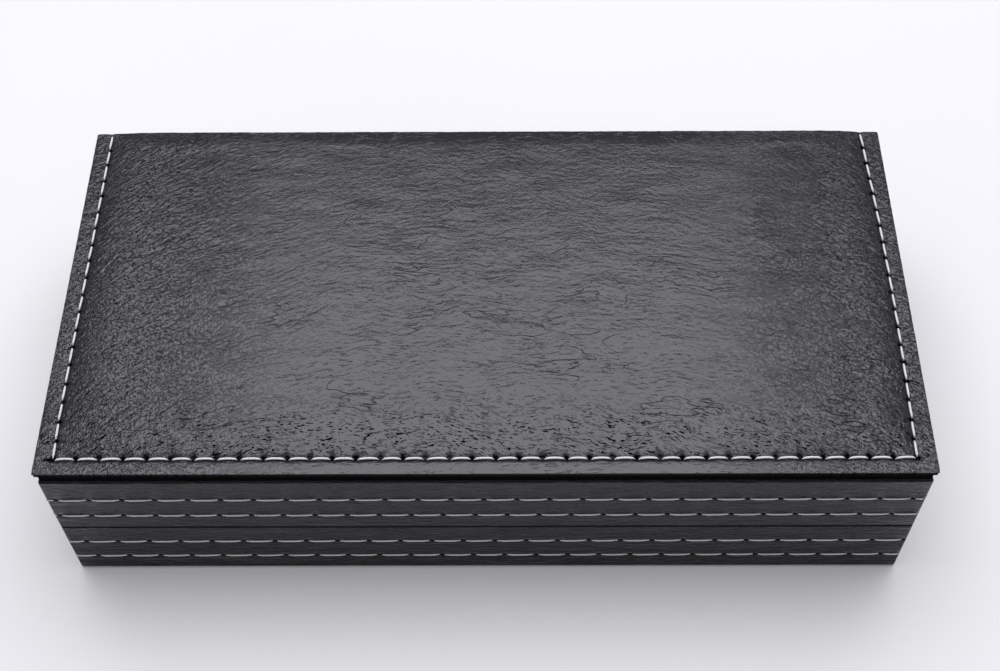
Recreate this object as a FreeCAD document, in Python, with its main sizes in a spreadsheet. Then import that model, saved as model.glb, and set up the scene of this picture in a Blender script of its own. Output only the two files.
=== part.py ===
import FreeCAD, Part
import os
import re
import Sketcher

# Fountain pen box: a clamshell of two wrapped and stitched shells under a padded cover board.
# Millimetres. The origin is the centre of the underside, +Z is up, +X runs along the width,
# -Y is the front edge and +Y the hinge side. The lid is shut.

SIZES = {
    # Outside of the two shells, over the leatherette
    "BodyWidth": 175.0,
    "BodyDepth": 87.0,
    "BaseHeight": 18.7,
    "PartingGap": 0.2,
    "LidHeight": 18.75,
    # Walls and boards
    "Leather": 0.35,
    "WallThickness": 5.0,
    "FloorThickness": 2.5,
    "DeckThickness": 2.0,
    "Rebate": 2.5,
    "RimBevel": 0.3,
    "BottomBevel": 0.35,
    "TopRound": 0.6,
    "TurnIn": 8.0,
    "FeltProud": 0.3,
    "FeltFit": 0.3,
    # Padded cover board on the lid
    "SpacerThickness": 2.2,
    "SpacerInset": 0.5,
    "CoverOverhang": 0.25,
    "CoverBoard": 0.8,
    "CoverCorner": 0.6,
    "CoverBevel": 0.3,
    "CoverTurnUnder": 10.0,
    "BorderWidth": 4.6,
    "Crown": 1.2,
    "CrownRun": 12.0,
    # Card linings and the satin pad in the lid
    "Lining": 0.8,
    "LiningDrop": 1.2,
    "PadFit": 0.4,
    "PadCard": 1.2,
    "PadCrown": 5.0,
    "PadRun": 16.0,
    "PadCorner": 3.0,
    # Moulded pen tray
    "TrayDrop": 2.05,
    "TrayThickness": 1.0,
    "TrayFit": 0.4,
    "TrayCorner": 3.0,
    "TrayBevel": 0.6,
    "GrooveLength": 152.0,
    "GrooveRadius": 8.5,
    "ScoopRadius": 17.0,
    "ScoopDepth": 6.5,
    # Elastic loops that hold the pen
    "LoopSpacing": 84.0,
    "LoopWidth": 8.0,
    "LoopThickness": 0.8,
    "LoopSpan": 22.0,
    "LoopRise": 5.2,
    "LoopTail": 4.0,
    "LoopFit": 0.1,
    # Closing magnets
    "MagnetInset": 27.5,
    "MagnetRadius": 2.0,
    "MagnetThickness": 2.0,
    # Stop hinges and their screws
    "LidOpening": 100.0,
    "StopSlack": 1.5,
    "HingeInset": 32.5,
    "HingeReach": 1.8,
    "LeafLength": 24.0,
    "LeafWidth": 4.6,
    "LeafThickness": 0.8,
    "LeafFit": 0.1,
    "KnuckleRadius": 1.4,
    "KnuckleFit": 0.15,
    "CentreKnuckle": 11.0,
    "HeelRadius": 2.05,
    "PinRadius": 0.6,
    "PinFit": 0.05,
    "ScrewSpacing": 17.0,
    "ScrewHead": 1.4,
    "ScrewShank": 0.6,
    "ScrewLength": 5.0,
}

# Levels, from the table up
BOARD_LOW = "(FeltProud + Leather)"
FLOOR_TOP = f"({BOARD_LOW} + FloorThickness)"
RIM_BOARD = "(BaseHeight - Leather)"
LID_RIM = "(BaseHeight + PartingGap)"
LID_RIM_BOARD = f"({LID_RIM} + Leather)"
LID_TOP = f"({LID_RIM} + LidHeight)"
DECK_TOP = f"({LID_TOP} - Leather)"
DECK_LOW = f"({DECK_TOP} - DeckThickness)"
COVER_LOW = f"({LID_TOP} + SpacerThickness)"
COVER_BOARD_LOW = f"({COVER_LOW} + Leather)"
COVER_BOARD_TOP = f"({COVER_BOARD_LOW} + CoverBoard)"
BORDER_TOP = f"({COVER_BOARD_TOP} + Leather)"
TRAY_LOW = f"({FLOOR_TOP} + Lining)"
TRAY_TOP = "(BaseHeight - TrayDrop)"

# Distances inwards from the outside of the shells
MID_WALL = "(Leather + WallThickness / 2)"
WALL_INSIDE = "(Leather + WallThickness)"
ROOM = "(2 * Leather + WallThickness)"
COVER_EDGE = "(-CoverOverhang)"
COVER_BOARD_EDGE = "(Leather - CoverOverhang)"
CROWN_EDGE = "(BorderWidth - CoverOverhang)"
TRAY_EDGE = f"({ROOM} + Lining + TrayFit)"
PAD_EDGE = f"({ROOM} + Lining + PadFit)"

# Leather drawn round a square corner of board, and the board's bevel below a round top edge
LEATHER_CORNER = "(1.6 * Leather)"
TOP_BOARD_BEVEL = "((TopRound - Leather) * (2 - sqrt(2)))"

# Middles of the right-hand hinge and magnet
HINGE_X = "(BodyWidth / 2 - HingeInset)"
MAGNET_X = "(BodyWidth / 2 - MagnetInset)"

# Hinge axis, and the turn from the leaf's far corner to where a heel meets it
AXIS_Y = "(BodyDepth / 2 + HingeReach)"
AXIS_Z = "(BaseHeight + PartingGap / 2)"
LEAF_EDGE = f"({AXIS_Y} - KnuckleRadius - KnuckleFit)"
CORNER_TURN = "atan((LeafThickness + PartingGap / 2) / (KnuckleRadius + KnuckleFit))"
HEEL_TURN = f"({CORNER_TURN} + (LidOpening + StopSlack) * 1 deg)"
HEEL_BACK = f"({HEEL_TURN} + acos(KnuckleRadius / HeelRadius))"

# Shares of a crown's rise and of the run over which it rises
CROWN_STEPS = [(0, 0), (0.5, 0.12), (0.86, 0.42), (1, 1)]
# How far a cutting form passes the piece that it cuts
OVERCUT = 1.0
TINY = 1e-4

doc = FreeCAD.newDocument("fountain_pen_box")
sheet = doc.addObject("Spreadsheet::Sheet", "Sizes")
for row, (alias, size) in enumerate(SIZES.items(), 1):
    sheet.set(f"A{row}", alias)
    sheet.set(f"B{row}", str(size))
    sheet.setAlias(f"B{row}", alias)
doc.recompute()

nodes = []


def cells(text):
    """An expression whose size names are references to the sheet."""
    return re.sub(r"[A-Z][A-Za-z]+", r"Sizes.\g<0>", str(text))


def value(text):
    """What an expression comes to with the present sizes."""
    return float(sheet.evalExpression(cells(text)))


def keep(piece):
    """Lists a finished piece, whose label names its file."""
    nodes.append(piece)
    return piece


# Sketches: every corner, centre and radius follows the sheet

def new_body(label):
    body = doc.addObject("PartDesign::Body", label)
    body.Label = label
    body.AllowCompound = True
    return body


def sketch_on(body, plane, level="0"):
    """An empty sketch on one of the body's own planes, moved along its normal."""
    sketch = body.newObject("Sketcher::SketchObject", f"{body.Name}_sketch")
    roles = {feature.Role: feature for feature in body.Origin.OriginFeatures}
    sketch.AttachmentSupport = (roles[f"{plane}_Plane"], [""])
    sketch.MapMode = "FlatFace"
    sketch.setExpression("AttachmentOffset.Base.z", cells(level))
    return sketch


def place_point(sketch, geometry, point, x, y):
    """Holds one point of a sketch at two expressions."""
    for kind, text in (("DistanceX", x), ("DistanceY", y)):
        rule = Sketcher.Constraint(kind, -1, 1, geometry, point, value(text))
        number = sketch.addConstraint(rule)
        sketch.setExpression(f"Constraints[{number}]", cells(text))


def polygon(sketch, corners):
    """A closed outline of straight lines."""
    points = [FreeCAD.Vector(value(x), value(y), 0) for x, y in corners]
    first = sketch.GeometryCount
    count = len(points)
    for i in range(count):
        sketch.addGeometry(Part.LineSegment(points[i], points[(i + 1) % count]))
    for i, (x, y) in enumerate(corners):
        following = first + (i + 1) % count
        sketch.addConstraint(Sketcher.Constraint("Coincident", first + i, 2, following, 1))
        place_point(sketch, first + i, 1, x, y)
    return sketch


def rectangle(sketch, left, low, right, high):
    return polygon(sketch, [(left, low), (right, low), (right, high), (left, high)])


def circle(sketch, x, y, radius):
    centre = FreeCAD.Vector(value(x), value(y), 0)
    number = sketch.addGeometry(Part.Circle(centre, FreeCAD.Vector(0, 0, 1), value(radius)))
    place_point(sketch, number, 3, x, y)
    rule = sketch.addConstraint(Sketcher.Constraint("Radius", number, value(radius)))
    sketch.setExpression(f"Constraints[{rule}]", cells(radius))
    return sketch


def outline(body, inset, level, corner=None):
    """The outline of the box moved inwards by `inset`, square or with rounded corners."""
    sketch = sketch_on(body, "XY", level)
    if corner:
        return rounded_outline(sketch, inset, corner)
    x = f"(BodyWidth / 2 - ({inset}))"
    y = f"(BodyDepth / 2 - ({inset}))"
    return rectangle(sketch, f"-{x}", f"-{y}", x, y)


def rounded_outline(sketch, inset, corner):
    """Four quarter circles, whose ends lie level with and plumb to their centres, and four sides."""
    up = FreeCAD.Vector(0, 0, 1)
    quarter = 90
    for i, (sign_x, sign_y) in enumerate([(1, 1), (-1, 1), (-1, -1), (1, -1)]):
        x = f"{sign_x} * (BodyWidth / 2 - ({inset}) - ({corner}))"
        y = f"{sign_y} * (BodyDepth / 2 - ({inset}) - ({corner}))"
        whole = Part.Circle(FreeCAD.Vector(value(x), value(y), 0), up, value(corner))
        start = FreeCAD.Units.Quantity(f"{quarter * i} deg").getValueAs("rad").Value
        finish = FreeCAD.Units.Quantity(f"{quarter * (i + 1)} deg").getValueAs("rad").Value
        sketch.addGeometry(Part.ArcOfCircle(whole, start, finish))
        place_point(sketch, i, 3, x, y)
        rule = sketch.addConstraint(Sketcher.Constraint("Radius", i, value(corner)))
        sketch.setExpression(f"Constraints[{rule}]", cells(corner))
        level_end, upright_end = (1, 2) if i % 2 == 0 else (2, 1)
        sketch.addConstraint(Sketcher.Constraint("Horizontal", i, 3, i, level_end))
        sketch.addConstraint(Sketcher.Constraint("Vertical", i, 3, i, upright_end))
    for i in range(4):
        following = (i + 1) % 4
        start = sketch.Geometry[i].EndPoint
        finish = sketch.Geometry[following].StartPoint
        side = sketch.addGeometry(Part.LineSegment(start, finish))
        sketch.addConstraint(Sketcher.Constraint("Coincident", side, 1, i, 2))
        sketch.addConstraint(Sketcher.Constraint("Coincident", side, 2, following, 1))
    return sketch


# Features: a pad or pocket rises from its sketch, unless it is told to sink or to spread

def grow(body, kind, sketch, length, sink, spread, taper):
    feature = body.newObject(f"PartDesign::{kind}", f"{body.Name}_{kind.lower()}")
    feature.Profile = sketch
    feature.setExpression("Length", cells(length))
    if spread:
        feature.SideType = "Symmetric"
    else:
        feature.Reversed = sink if kind == "Pad" else not sink
    if taper is not None:
        feature.setExpression("TaperAngle", cells(taper))
    return feature


def pad(body, sketch, length, sink=False, spread=False, taper=None):
    return grow(body, "Pad", sketch, length, sink, spread, taper)


def pocket(body, sketch, length, sink=False, spread=False, taper=None):
    """Cuts the body, and makes sure that it did."""
    doc.recompute()
    before = body.Shape.Volume
    feature = grow(body, "Pocket", sketch, length, sink, spread, taper)
    doc.recompute()
    if not body.Shape.Volume < before - TINY:
        raise ValueError(f"{body.Label}: a pocket cuts nothing")
    return feature


def dress(body, kind, field, size, wanted):
    """Bevels or rounds the edges of the body so far that `wanted` picks out."""
    doc.recompute()
    last = body.Tip
    names = [f"Edge{i}" for i, edge in enumerate(last.Shape.Edges, 1) if wanted(edge)]
    if not names:
        raise ValueError(f"{body.Label}: no edge to dress")
    dressing = body.newObject(f"PartDesign::{kind}", f"{body.Name}_{kind.lower()}")
    dressing.Base = (last, names)
    dressing.setExpression(field, cells(size))


def bevel(body, size, wanted):
    dress(body, "Chamfer", "Size", size, wanted)


def ease(body, radius, wanted):
    dress(body, "Fillet", "Radius", radius, wanted)


def arris(level, inside=None):
    """Picks the level edges at a height, and of those only the ones outside `inside`."""
    height = value(level)
    limit_x = value(f"BodyWidth / 2 - ({inside})") if inside else 0
    limit_y = value(f"BodyDepth / 2 - ({inside})") if inside else 0

    def wanted(edge):
        box = edge.BoundBox
        middle = box.Center
        is_level = abs(box.ZMin - height) < TINY and abs(box.ZMax - height) < TINY
        return is_level and (abs(middle.x) >= limit_x or abs(middle.y) >= limit_y)
    return wanted


def slab(label, inset, low, high, corner=None):
    """A board whose edges lie `inset` inside the outline of the box."""
    body = new_body(label)
    pad(body, outline(body, inset, low, corner), f"{high} - {low}")
    return body


def hollow(body, inset, low, high):
    """Clears the middle of a slab between two levels."""
    pocket(body, outline(body, inset, low), f"{high} - {low}")


def crown(body, inset, corner, level, rise, run):
    """Swells a flat face into a cushion, steep at its edge and flat in its middle."""
    outlines = []
    for up_share, in_share in CROWN_STEPS:
        step_inset = f"{inset} + {in_share} * {run}"
        step_corner = f"{corner} + {in_share} * {run} / 2" if corner else None
        step_level = f"{level} + {up_share} * ({rise})"
        outlines.append(outline(body, step_inset, step_level, step_corner))
    loft = body.newObject("PartDesign::AdditiveLoft", f"{body.Name}_crown")
    loft.Profile = outlines[0]
    loft.Sections = outlines[1:]
    loft.Ruled = True
    return loft


# Booleans between finished pieces

def combine(kind, name, base, tool):
    result = doc.addObject(f"Part::{kind}", name)
    result.Base = base
    result.Tool = tool
    return result


def cut(name, base, *tools):
    """Takes each tool from the base in turn. The last result carries the name."""
    result = base
    for i, tool in enumerate(tools, 1):
        step = name if i == len(tools) else f"{name}_step"
        result = combine("Cut", step, result, tool)
    result.Label = name
    return result


def place(piece, x="0", y="0", z="0"):
    for axis, text in (("x", x), ("y", y), ("z", z)):
        piece.setExpression(f"Placement.Base.{axis}", cells(text))


def block(name, left, front, low, width, depth, height):
    box = doc.addObject("Part::Box", name)
    for field, text in (("Length", width), ("Width", depth), ("Height", height)):
        box.setExpression(field, cells(text))
    place(box, left, front, low)
    return box


def gather(name, pieces):
    group = doc.addObject("Part::Compound", name)
    group.Links = pieces
    group.Label = name
    return group


# Walls: a ring of fibreboard with a rebate for its floor or deck, parted at mitred corners

def mitre_sector(side):
    """A prism that holds one wall of the ring, bounded by the 45 degree mitres."""
    out = f"{OVERCUT}"
    back = f"(WallThickness + {OVERCUT})"
    far_x = f"(BodyWidth / 2 - Leather + {out})"
    far_y = f"(BodyDepth / 2 - Leather + {out})"
    near_x = f"(BodyWidth / 2 - Leather - {back})"
    near_y = f"(BodyDepth / 2 - Leather - {back})"
    corners = {
        "front": [(f"-{far_x}", f"-{far_y}"), (far_x, f"-{far_y}"),
                  (near_x, f"-{near_y}"), (f"-{near_x}", f"-{near_y}")],
        "right": [(far_x, f"-{far_y}"), (far_x, far_y), (near_x, near_y), (near_x, f"-{near_y}")],
        "back": [(far_x, far_y), (f"-{far_x}", far_y), (f"-{near_x}", near_y), (near_x, near_y)],
        "left": [(f"-{far_x}", far_y), (f"-{far_x}", f"-{far_y}"),
                 (f"-{near_x}", f"-{near_y}"), (f"-{near_x}", near_y)],
    }
    body = new_body(f"{side}_sector")
    pad(body, polygon(sketch_on(body, "XY"), corners[side]), LID_TOP)
    return body


def timber_ring(name, low, high, rebate):
    """The four walls before the mitres part them."""
    ring = slab(name, "Leather", low, high)
    hollow(ring, WALL_INSIDE, low, high)
    hollow(ring, f"{WALL_INSIDE} - Rebate", *rebate)
    return ring


def leather_blank(name, low, high, rim, room, turn_in):
    """One pre-stitched strip, turned over the rim inside and under the boards outside."""
    blank = slab(f"{name}_blank", "0", low, high, LEATHER_CORNER)
    hollow(blank, ROOM, *room)
    hollow(blank, "TurnIn", *turn_in)
    bevel(blank, "RimBevel", arris(rim))
    return blank


sectors = {side: mitre_sector(side) for side in ("front", "right", "back", "left")}


# Hinges: butt hinges whose heels meet the other leaf when the lid stands open

def leaf(label, place_x, lower, knuckle_length, bore):
    """One leaf. The lower one carries the two end knuckles, the upper one the middle one."""
    flip = 1 if lower else -1
    rim = "BaseHeight" if lower else LID_RIM
    far = f"{rim} - {flip} * LeafThickness"
    body = new_body(label)
    inner_edge = "(BodyDepth / 2 - LeafWidth)"
    plate = rectangle(sketch_on(body, "YZ"), inner_edge, far, LEAF_EDGE, rim)
    pad(body, plate, "LeafLength", spread=True)
    tongue = rectangle(sketch_on(body, "YZ"), f"{LEAF_EDGE} - LeafThickness", far, AXIS_Y, rim)
    pad(body, tongue, knuckle_length, spread=True)
    barrel = circle(sketch_on(body, "YZ"), AXIS_Y, AXIS_Z, "KnuckleRadius")
    pad(body, barrel, knuckle_length, spread=True)
    tip = (f"{AXIS_Y} - HeelRadius * cos({HEEL_TURN})",
           f"{AXIS_Z} + {flip} * HeelRadius * sin({HEEL_TURN})")
    foot = (f"{AXIS_Y} - KnuckleRadius * cos({HEEL_BACK})",
            f"{AXIS_Z} + {flip} * KnuckleRadius * sin({HEEL_BACK})")
    heel = polygon(sketch_on(body, "YZ"), [(AXIS_Y, AXIS_Z), tip, foot])
    pad(body, heel, knuckle_length, spread=True)
    if lower:
        reach = "2 * HeelRadius"
        gap = rectangle(sketch_on(body, "YZ"), LEAF_EDGE, f"{AXIS_Z} - {reach}",
                        f"{AXIS_Y} + {reach}", f"{AXIS_Z} + {reach}")
        pocket(body, gap, "CentreKnuckle + 2 * KnuckleFit", spread=True)
    hole = circle(sketch_on(body, "YZ"), AXIS_Y, AXIS_Z, bore)
    pocket(body, hole, f"LeafLength + {OVERCUT}", spread=True)
    sinks = sketch_on(body, "XY", rim)
    for side in (-1, 1):
        circle(sinks, f"{side} * ScrewSpacing / 2", "BodyDepth / 2 - LeafWidth / 2", "ScrewHead")
    slope = "-atan((ScrewHead - ScrewShank) / LeafThickness)"
    pocket(body, sinks, "LeafThickness", sink=lower, taper=slope)
    place(body, place_x)
    return keep(body)


def hinge_screws(label, lower):
    """The four countersunk screws of one pair of leaves, as one group of solids."""
    rim = "BaseHeight" if lower else LID_RIM
    far = f"{rim} - LeafThickness" if lower else f"{rim} + LeafThickness"
    y = "BodyDepth / 2 - LeafWidth / 2"
    centres = [f"{hinge} * {HINGE_X} + {end} * ScrewSpacing / 2"
               for hinge in (-1, 1) for end in (-1, 1)]
    body = new_body(label)
    heads = sketch_on(body, "XY", rim)
    shanks = sketch_on(body, "XY", far)
    for x in centres:
        circle(heads, x, y, "ScrewHead")
        circle(shanks, x, y, "ScrewShank")
    slope = "-atan((ScrewHead - ScrewShank) / LeafThickness)"
    pad(body, heads, "LeafThickness", sink=lower, taper=slope)
    pad(body, shanks, "ScrewLength", sink=lower)
    return keep(body)


def mortise(name, hinge, low):
    """The recess that one leaf lies in, open at the rim and at the back."""
    return block(name, f"{hinge} * {HINGE_X} - LeafLength / 2 - LeafFit",
                 "BodyDepth / 2 - LeafWidth - LeafFit", low,
                 "LeafLength + 2 * LeafFit", f"LeafWidth + LeafFit + {OVERCUT}", "LeafThickness")


def hinges():
    for side, hinge in (("left", -1), ("right", 1)):
        x = f"{hinge} * {HINGE_X}"
        leaf(f"{side}_hinge_base_leaf", x, True, "LeafLength", "PinRadius")
        leaf(f"{side}_hinge_lid_leaf", x, False, "CentreKnuckle", "PinRadius + PinFit")
        pin = doc.addObject("Part::Cylinder", f"{side}_hinge_pin")
        pin.setExpression("Radius", cells("PinRadius"))
        pin.setExpression("Height", cells("LeafLength"))
        pin.Placement.Rotation = FreeCAD.Rotation(FreeCAD.Vector(0, 1, 0), 90)
        place(pin, f"{x} - LeafLength / 2", AXIS_Y, AXIS_Z)
        keep(pin)


# Magnets: discs let into the front walls from their rims

def magnets(label, low):
    discs = []
    for side in (-1, 1):
        disc = doc.addObject("Part::Cylinder", f"{label}_disc")
        disc.setExpression("Radius", cells("MagnetRadius"))
        disc.setExpression("Height", cells("MagnetThickness"))
        place(disc, f"{side} * {MAGNET_X}", f"-(BodyDepth / 2 - {MID_WALL})", low)
        discs.append(disc)
    return keep(gather(label, discs))


# Base shell

def base_shell(screws, discs):
    recesses = gather("base_mortises", [
        mortise(f"base_mortise_{i}", hinge, "BaseHeight - LeafThickness")
        for i, hinge in enumerate((-1, 1))])
    ring = timber_ring("base_ring", BOARD_LOW, RIM_BOARD, (BOARD_LOW, FLOOR_TOP))
    floor = keep(slab("base_floor_board", f"{WALL_INSIDE} - Rebate", BOARD_LOW, FLOOR_TOP))
    tools = {"front": [discs], "back": [recesses, screws]}
    shell_walls("base", ring, tools)
    blank = leather_blank("base_wrap", "FeltProud", "BaseHeight", "BaseHeight",
                          (FLOOR_TOP, "BaseHeight"), ("FeltProud", BOARD_LOW))
    bevel(blank, "BottomBevel", arris("FeltProud", MID_WALL))
    keep(cut("base_wrap", blank, ring, floor, recesses))
    keep(slab("base_underside_felt", "TurnIn + FeltFit", "0", BOARD_LOW))
    lining = keep(slab("base_lining", ROOM, FLOOR_TOP, "(BaseHeight - LiningDrop)"))
    hollow(lining, f"{ROOM} + Lining", TRAY_LOW, "(BaseHeight - LiningDrop)")


def shell_walls(shell, ring, tools):
    """Parts a ring into its four walls and cuts what is let into them."""
    for side, sector in sectors.items():
        name = f"{shell}_{side}_wall"
        if side in tools:
            blank = combine("Common", f"{name}_blank", ring, sector)
            keep(cut(name, blank, *tools[side]))
        else:
            keep(combine("Common", name, ring, sector))


# Pen tray: a flocked moulding of even thickness, with a groove and a round finger scoop

def tray_form(name, skin, low):
    """The outside of the tray, or with a skin its inside, a wall's thickness within."""
    top = f"({TRAY_TOP} - ({skin}))"
    form = slab(name, f"{TRAY_EDGE} + {skin}", low, top, "TrayCorner")
    groove = circle(sketch_on(form, "YZ"), "0", TRAY_TOP, f"GrooveRadius + {skin}")
    pocket(form, groove, f"GrooveLength + 2 * {skin}", spread=True)
    scoop_low = f"({TRAY_TOP} - ScoopDepth - {skin})"
    scoop = circle(sketch_on(form, "XY", scoop_low), "0", "0", f"ScoopRadius + {skin}")
    pocket(form, scoop, f"ScoopDepth + {skin}")
    return form


def pen_tray(slots):
    outside = tray_form("tray_outside", "0", TRAY_LOW)
    bevel(outside, "TrayBevel", arris(TRAY_TOP))
    inside = tray_form("tray_inside", "TrayThickness", f"({TRAY_LOW} - {OVERCUT})")
    return keep(cut("pen_tray", outside, inside, slots))


# Elastic loops: bands that leave the tray by slots and arch over the pen

LOOP_RADIUS = "((LoopSpan * LoopSpan / 4 + LoopRise * LoopRise) / (2 * LoopRise))"


def pen_loop(label, side):
    x = f"{side} * LoopSpacing / 2"
    body = new_body(label)
    middle = f"({TRAY_TOP} + LoopRise - {LOOP_RADIUS})"
    outer = circle(sketch_on(body, "YZ"), "0", middle, f"{LOOP_RADIUS} + LoopThickness")
    pad(body, outer, "LoopWidth", spread=True)
    inner = circle(sketch_on(body, "YZ"), "0", middle, LOOP_RADIUS)
    pocket(body, inner, f"LoopWidth + {OVERCUT}", spread=True)
    below = rectangle(sketch_on(body, "YZ"), f"-2 * {LOOP_RADIUS}", f"{middle} - 2 * {LOOP_RADIUS}",
                      f"2 * {LOOP_RADIUS}", TRAY_TOP)
    pocket(body, below, f"LoopWidth + {OVERCUT}", spread=True)
    for hand in (-1, 1):
        tail = rectangle(sketch_on(body, "YZ"), f"{hand} * LoopSpan / 2", f"{TRAY_TOP} - LoopTail",
                         f"{hand} * (LoopSpan / 2 + LoopThickness)", f"{TRAY_TOP} + LoopFit")
        pad(body, tail, "LoopWidth", spread=True)
    place(body, x)
    return keep(body)


def loop_slots():
    slots = []
    for side in (-1, 1):
        for hand in (-1, 1):
            near = f"{hand} * (LoopSpan / 2 + LoopThickness / 2)"
            slots.append(block(
                "loop_slot", f"{side} * LoopSpacing / 2 - LoopWidth / 2 - LoopFit",
                f"{near} - LoopThickness / 2 - LoopFit", f"{TRAY_TOP} - LoopTail",
                "LoopWidth + 2 * LoopFit", "LoopThickness + 2 * LoopFit", f"LoopTail + {OVERCUT}"))
    return gather("loop_slots", slots)


# Lid shell

def lid_shell(screws, discs):
    recesses = gather("lid_mortises", [
        mortise(f"lid_mortise_{i}", hinge, LID_RIM) for i, hinge in enumerate((-1, 1))])
    ring = timber_ring("lid_ring", LID_RIM_BOARD, DECK_TOP, (DECK_LOW, DECK_TOP))
    bevel(ring, TOP_BOARD_BEVEL, arris(DECK_TOP, MID_WALL))
    deck = keep(slab("lid_deck_board", f"{WALL_INSIDE} - Rebate", DECK_LOW, DECK_TOP))
    tools = {"front": [discs], "back": [recesses, screws]}
    shell_walls("lid", ring, tools)
    blank = leather_blank("lid_wrap", LID_RIM, LID_TOP, LID_RIM,
                          (LID_RIM, DECK_LOW), (DECK_TOP, LID_TOP))
    ease(blank, "TopRound", arris(LID_TOP, MID_WALL))
    keep(cut("lid_wrap", blank, ring, deck, recesses))
    lining_low = f"({LID_RIM} + LiningDrop)"
    lining = keep(slab("lid_lining", ROOM, lining_low, DECK_LOW))
    hollow(lining, f"{ROOM} + Lining", lining_low, DECK_LOW)


def lid_pad():
    """A card that the satin is drawn over, and the soft cushion that it makes."""
    card_low = f"({DECK_LOW} - PadCard)"
    keep(slab("lid_pad_card", PAD_EDGE, card_low, DECK_LOW, "PadCorner"))
    cushion = new_body("lid_pad_cushion")
    crown(cushion, PAD_EDGE, "PadCorner", card_low, "-PadCrown", "PadRun")
    keep(cushion)


# Cover: a board padded with foam and drawn over with leatherette, on an inset spacer

def cover():
    keep(slab("cover_spacer_board", "SpacerInset", LID_TOP, COVER_LOW))
    board = keep(slab("cover_board", COVER_BOARD_EDGE, COVER_BOARD_LOW, COVER_BOARD_TOP,
                      "CoverCorner - Leather"))
    foam = new_body("cover_foam")
    crown(foam, CROWN_EDGE, None, COVER_BOARD_TOP, "Crown", "CrownRun")
    keep(foam)
    skin = slab("cover_skin", COVER_EDGE, COVER_LOW, BORDER_TOP, "CoverCorner")
    bevel(skin, "CoverBevel", arris(BORDER_TOP))
    bevel(skin, "CoverBevel", arris(COVER_LOW))
    crown(skin, CROWN_EDGE, None, BORDER_TOP, "Crown", "CrownRun")
    hollow(skin, "CoverTurnUnder", COVER_LOW, COVER_BOARD_LOW)
    keep(cut("cover_leather", skin, board, foam))


base_screws = hinge_screws("base_hinge_screws", True)
lid_screws = hinge_screws("lid_hinge_screws", False)
base_magnets = magnets("base_magnets", f"{RIM_BOARD} - MagnetThickness")
lid_magnets = magnets("lid_magnets", LID_RIM_BOARD)
hinges()
base_shell(base_screws, base_magnets)
pen_tray(loop_slots())
pen_loop("left_pen_loop", -1)
pen_loop("right_pen_loop", 1)
lid_shell(lid_screws, lid_magnets)
lid_pad()
cover()
doc.recompute()

for thing in doc.Objects:
    if "Invalid" in thing.State or "Error" in thing.State:
        raise ValueError(f"{thing.Label} did not build: {thing.State}")
for piece in nodes:
    if piece.Shape.isNull() or not piece.Shape.isValid() or not piece.Shape.Solids:
        raise ValueError(f"{piece.Label} has no sound shape")

os.makedirs("parts", exist_ok=True)
for piece in nodes:
    piece.Shape.exportStep(f"parts/{piece.Label}.step")
    print(f"{piece.Label:24} {len(piece.Shape.Solids)} solids, {piece.Shape.Volume:9.1f} mm3")
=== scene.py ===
# %% [markdown]
# # A fountain pen box, dressed for the studio
#
# The box is a clamshell: two shells of fibreboard wrapped in black grained leatherette, a padded and
# sewn cover board on the lid, and inside a flocked pen tray under a satin pad. The solids come from
# the construction model, and this script adds what a camera sees: thread, puckers, grain and nap.

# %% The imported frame
import math

import bpy
import numpy as np
from mathutils import Matrix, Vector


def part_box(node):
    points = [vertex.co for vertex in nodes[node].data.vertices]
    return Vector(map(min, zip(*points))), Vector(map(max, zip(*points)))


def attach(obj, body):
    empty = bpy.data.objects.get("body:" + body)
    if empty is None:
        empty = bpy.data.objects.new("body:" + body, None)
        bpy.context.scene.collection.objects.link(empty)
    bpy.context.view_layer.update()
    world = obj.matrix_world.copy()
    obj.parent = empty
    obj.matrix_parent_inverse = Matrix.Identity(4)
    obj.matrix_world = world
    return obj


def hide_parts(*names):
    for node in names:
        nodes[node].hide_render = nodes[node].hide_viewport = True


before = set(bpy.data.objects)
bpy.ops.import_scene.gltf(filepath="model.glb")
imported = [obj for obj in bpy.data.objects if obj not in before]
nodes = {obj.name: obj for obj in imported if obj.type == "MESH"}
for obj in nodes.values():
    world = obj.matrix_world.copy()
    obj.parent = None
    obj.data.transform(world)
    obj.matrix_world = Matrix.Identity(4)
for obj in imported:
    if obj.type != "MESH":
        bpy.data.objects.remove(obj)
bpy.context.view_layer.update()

MM = 0.001

# %% [markdown]
# The camera stands in front of the box and looks down on it. A real camera is described by where it
# stands, three turns and a focal length. The turns make three unit vectors, and Blender wants them
# as the columns of the camera's matrix: to the right, up, and backwards.

# %% Camera
CAMERA_PLACE = (0.0042723, -0.1865803, 0.2989689)
CAMERA_YAW, CAMERA_PITCH, CAMERA_ROLL = (math.radians(v) for v in (0.453, 55.792, -0.527))
FOCAL_LENGTH = 54.79


def camera_axes(yaw, pitch, roll):
    """Right, up and backward of a camera turned about the vertical, tipped down, then rolled."""
    right = np.array([math.cos(yaw), math.sin(yaw), 0])
    level = np.array([-math.sin(yaw), math.cos(yaw), 0])
    plumb = np.array([0, 0, 1])
    ahead = level * math.cos(pitch) - plumb * math.sin(pitch)
    above = level * math.sin(pitch) + plumb * math.cos(pitch)
    rolled_right = right * math.cos(roll) + above * math.sin(roll)
    rolled_above = above * math.cos(roll) - right * math.sin(roll)
    return rolled_right, rolled_above, -ahead


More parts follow.
